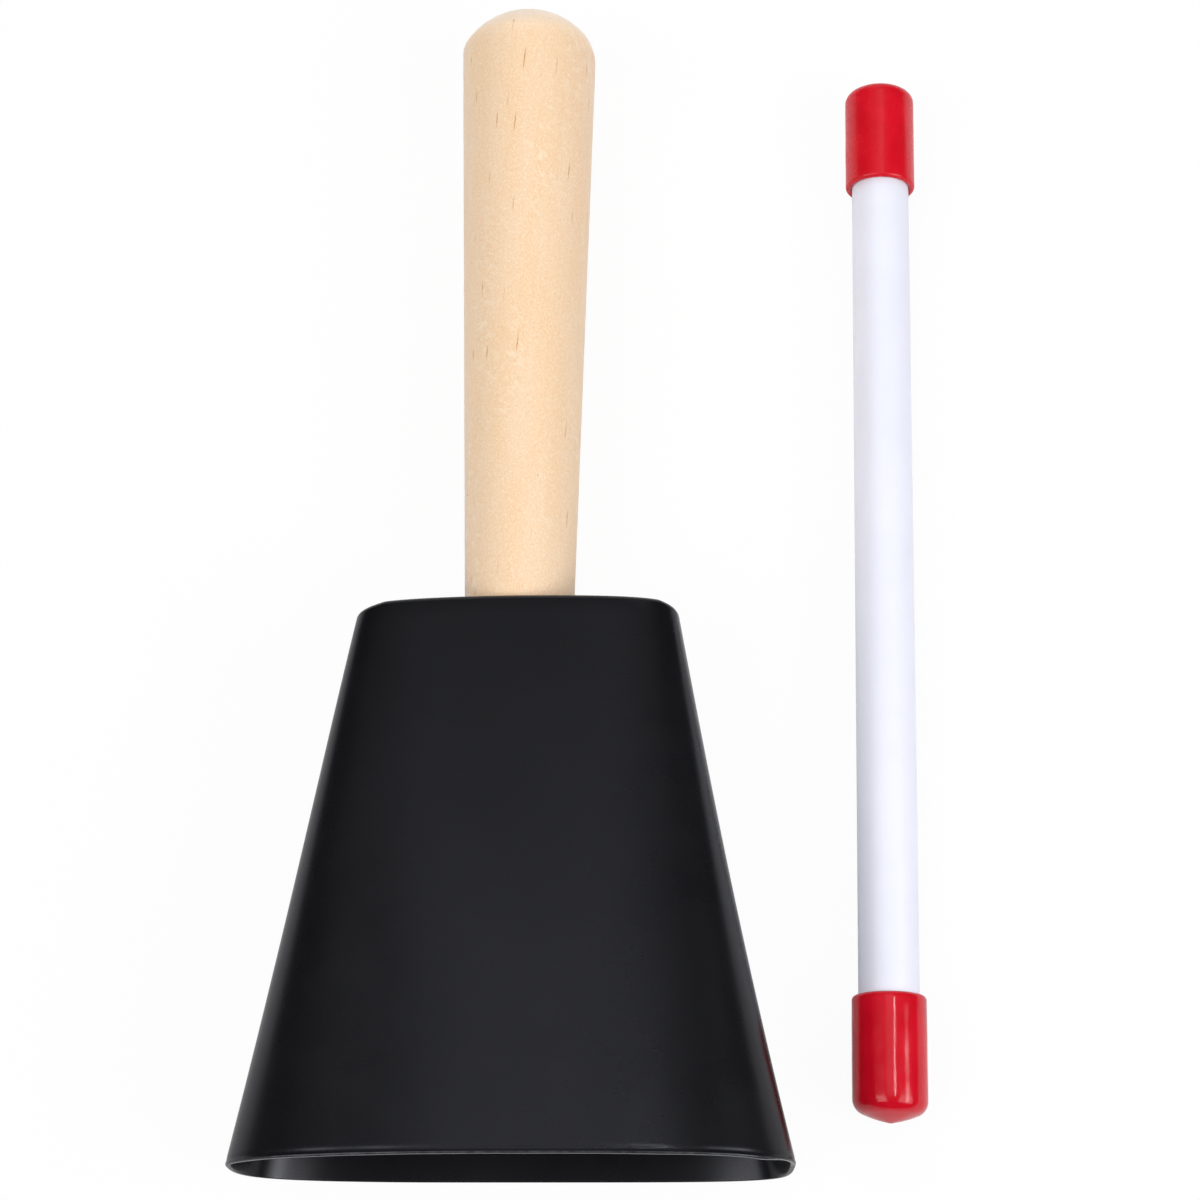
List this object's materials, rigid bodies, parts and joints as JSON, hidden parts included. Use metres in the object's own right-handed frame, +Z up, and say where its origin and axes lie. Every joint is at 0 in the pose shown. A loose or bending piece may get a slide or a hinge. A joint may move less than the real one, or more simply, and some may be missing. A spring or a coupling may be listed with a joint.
{
  "type": "hand cowbell",
  "caption": "Flattened, tapering black steel cowbell with a turned wooden handle screwed to its crown, lying beside its white rod beater with red end caps.",
  "frame": {"origin": "on the table under the middle of the bounding box of the bell and its beater, as they lie in the picture", "axes": "+Y from the mouth of the bell towards the end of its handle, +X towards the beater, +Z up from the table"},
  "size_m": [0.159, 0.2862, 0.05],
  "materials": {
    "black_paint": "satin black paint",
    "pale_wood": "sanded, clear matt lacquer",
    "zinc_steel": "zinc plated",
    "white_plastic": "satin white",
    "red_vinyl": "glossy dipped vinyl"
  },
  "bodies": {
    "bell": {"bell_shell": "black_paint", "handle": "pale_wood", "handle_screw": "zinc_steel", "washer": "zinc_steel"},
    "beater": {"beater_rod": "white_plastic", "beater_tip_cap": "red_vinyl", "beater_grip_cap": "red_vinyl"}
  },
  "joints": [
    {"name": "beater_slide", "type": "slide", "parent": "bell", "child": "beater", "axis": [1, 0, 0], "range_m": [0, 0.1]}
  ]
}
